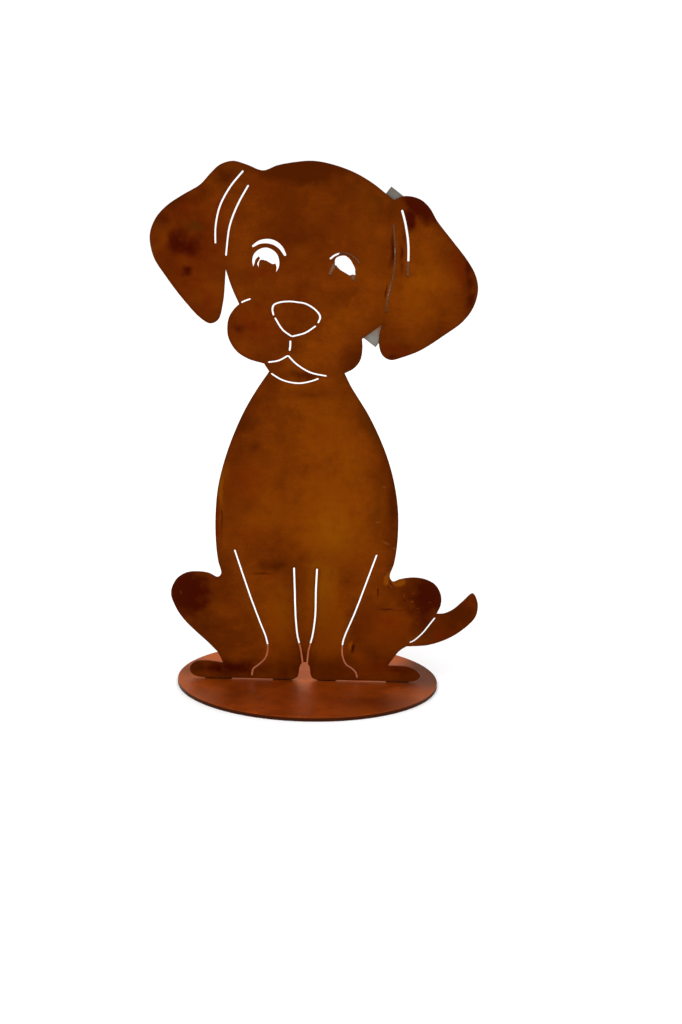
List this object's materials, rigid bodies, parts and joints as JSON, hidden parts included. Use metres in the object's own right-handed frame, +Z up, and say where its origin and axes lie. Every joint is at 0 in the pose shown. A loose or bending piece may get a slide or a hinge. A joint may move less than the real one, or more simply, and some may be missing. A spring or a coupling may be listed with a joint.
{
  "type": "flat steel dog figure on a round plate",
  "caption": "Sitting puppy cut from one flat rusty steel sheet, features cut through as narrow lines, on a round plate.",
  "frame": {"origin": "middle of the round plate's underside", "axes": "+Z up through the dog's head, the dog faces -Y, +X towards the dog's tail"},
  "size_m": [0.2533, 0.2, 0.3998],
  "materials": {
    "rusty_sheet": "flat steel sheet with an even brown rust patina, darker blotches and a soft lacquered sheen",
    "rusty_base": "brown rust patina under a glossy clear lacquer",
    "grey_steel": "dull grey bare steel",
    "weld": "rippled weld bead, brown and grey"
  },
  "bodies": {
    "root": {"dog_sheet": "rusty_sheet", "base_plate": "rusty_base", "back_plate": "grey_steel", "foot_weld_1": "weld", "foot_weld_2": "weld", "foot_weld_3": "weld", "foot_weld_4": "weld", "back_plate_weld_1": "weld", "back_plate_weld_2": "weld", "back_plate_weld_3": "weld", "back_plate_weld_4": "weld"}
  },
  "joints": []
}
